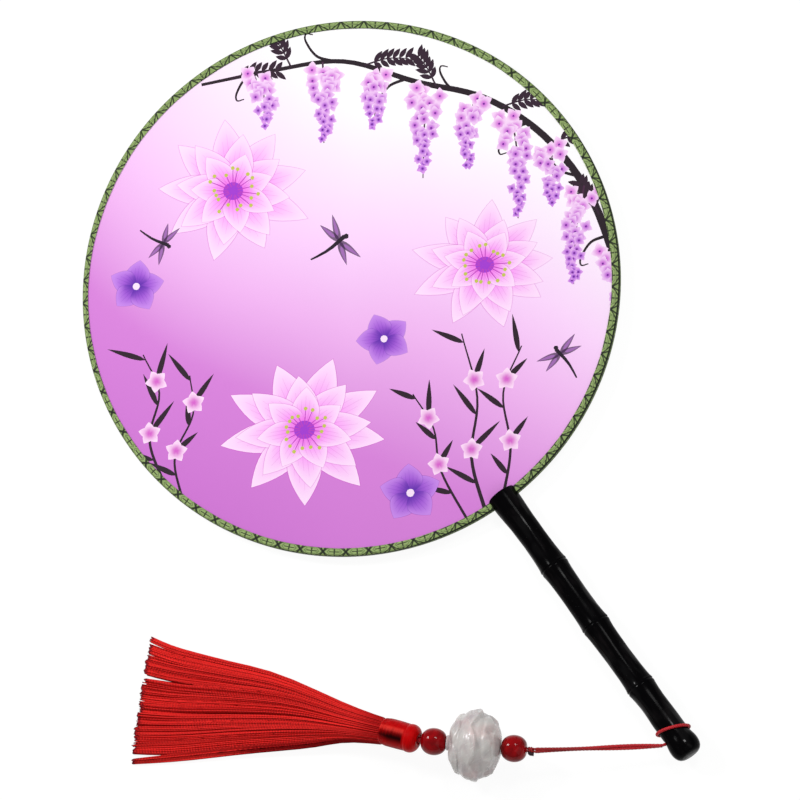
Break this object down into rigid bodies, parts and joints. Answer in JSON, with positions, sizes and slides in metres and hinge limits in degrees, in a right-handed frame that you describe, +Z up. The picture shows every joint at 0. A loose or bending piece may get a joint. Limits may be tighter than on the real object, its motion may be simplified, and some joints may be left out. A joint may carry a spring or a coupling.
{
  "type": "round hand fan",
  "caption": "Round silk hand fan: printed cloth on a wire hoop with a brocade edge, a bamboo handle, and a corded pendant of beads and a tassel.",
  "frame": {"origin": "on the table under the middle of the fan as it lies, measured without its pendant", "axes": "+Z up from the table, +Y along the handle towards the face, +X to the right of it"},
  "size_m": [0.3365, 0.3976, 0.0342],
  "materials": {
    "front_print": "printed satin, white to orchid",
    "back_print": "printed satin, white to orchid",
    "brocade": "woven green and black tape",
    "hoop_wire": "drawn wire",
    "lacquer": "gloss black lacquer",
    "bamboo": "split bamboo",
    "red_cord": "braided cord",
    "red_bead": "polished, deep red",
    "lotus": "milky, polished",
    "red_satin": "satin thread, wound",
    "red_thread": "crimped thread"
  },
  "bodies": {
    "fan": {"frame_hoop": "hoop_wire", "front_silk": "front_print", "back_silk": "back_print", "edge_binding": "brocade", "handle": "lacquer", "tang_wedges": "bamboo", "cord_wrap": "red_cord"},
    "cord": {"near_strand": "red_cord", "far_strand": "red_cord"},
    "string": {"cord_knot": "red_cord", "bead_cord": "red_cord"},
    "upper_bead": {"upper_bead": "red_bead"},
    "lotus_bead": {"lotus_bead": "lotus"},
    "lower_bead": {"lower_bead": "red_bead"},
    "tassel": {"tassel_head": "red_satin", "hanger_knot": "red_cord", "tassel_tie": "red_thread", "tassel_skirt": "red_thread"}
  },
  "joints": [
    {"name": "cord_swing", "type": "hinge", "parent": "fan", "child": "cord", "pos_m": [-0.00815, -0.18735, 0.00981], "axis": [0, 0, 1], "range_deg": [-5, 110]},
    {"name": "string_lift", "type": "hinge", "parent": "cord", "child": "string", "pos_m": [-0.05579, -0.15569, 0.01715], "axis": [0.6691, 0.7431, 0], "range_deg": [0, 60]},
    {"name": "upper_spin", "type": "hinge", "parent": "string", "child": "upper_bead", "pos_m": [-0.05579, -0.15569, 0.01715], "axis": [-0.7431, 0.6691, 0], "continuous": true},
    {"name": "lotus_spin", "type": "hinge", "parent": "string", "child": "lotus_bead", "pos_m": [-0.05579, -0.15569, 0.01715], "axis": [-0.7431, 0.6691, 0], "continuous": true},
    {"name": "lower_spin", "type": "hinge", "parent": "string", "child": "lower_bead", "pos_m": [-0.05579, -0.15569, 0.01715], "axis": [-0.7431, 0.6691, 0], "continuous": true},
    {"name": "tassel_swing", "type": "hinge", "parent": "string", "child": "tassel", "pos_m": [-0.09624, -0.11928, 0.01715], "axis": [0, 0, 1], "range_deg": [-10, 35]}
  ]
}
